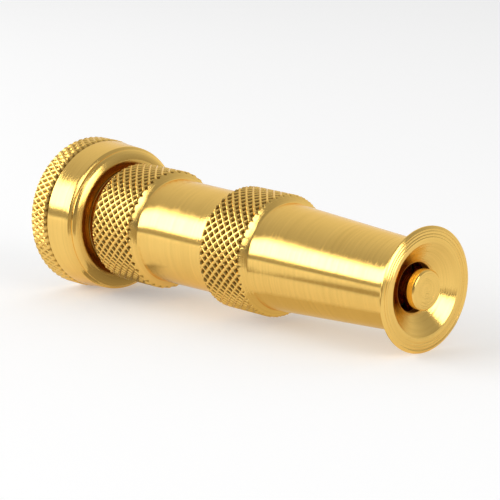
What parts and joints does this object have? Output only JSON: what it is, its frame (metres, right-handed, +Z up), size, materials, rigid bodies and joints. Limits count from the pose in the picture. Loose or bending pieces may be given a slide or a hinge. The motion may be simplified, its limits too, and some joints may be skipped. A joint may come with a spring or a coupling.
{
  "type": "hose spray nozzle",
  "caption": "Turned brass hose nozzle: a knurled barrel twists on a threaded stem to shut off, spray or jet; a knurled socket screws on a garden hose.",
  "frame": {"origin": "on the nozzle's axis, at the centre of the inlet coupling's rear face", "axes": "+X along the axis from the hose towards the outlet, +Z up with the nozzle lying on its side, +Y across"},
  "size_m": [0.1002, 0.0324, 0.0324],
  "materials": {
    "brass": "bright turned, knurled grips",
    "rubber": "moulded, satin black",
    "fibre": "vulcanised fibre, matt"
  },
  "bodies": {
    "inlet": {"inlet_coupling": "brass", "hose_washer": "rubber", "joint_washer": "fibre", "stem": "brass", "stem_ring": "rubber", "shutoff_ring": "rubber", "nose_tip": "brass"},
    "barrel_carrier": {"mouth_ring": "rubber"},
    "barrel": {"barrel": "brass"}
  },
  "joints": [
    {"name": "barrel_travel", "type": "slide", "parent": "inlet", "child": "barrel_carrier", "axis": [1, 0, 0], "range_m": [-0.00241, 0.00661]},
    {"name": "barrel_twist", "type": "hinge", "parent": "barrel_carrier", "child": "barrel", "pos_m": [0, 0, 0], "axis": [1, 0, 0], "range_deg": [-288, 792]}
  ],
  "couplings": [
    {"joint": "barrel_travel", "follows": "barrel_twist", "m_per_rad": 0.00047746}
  ]
}
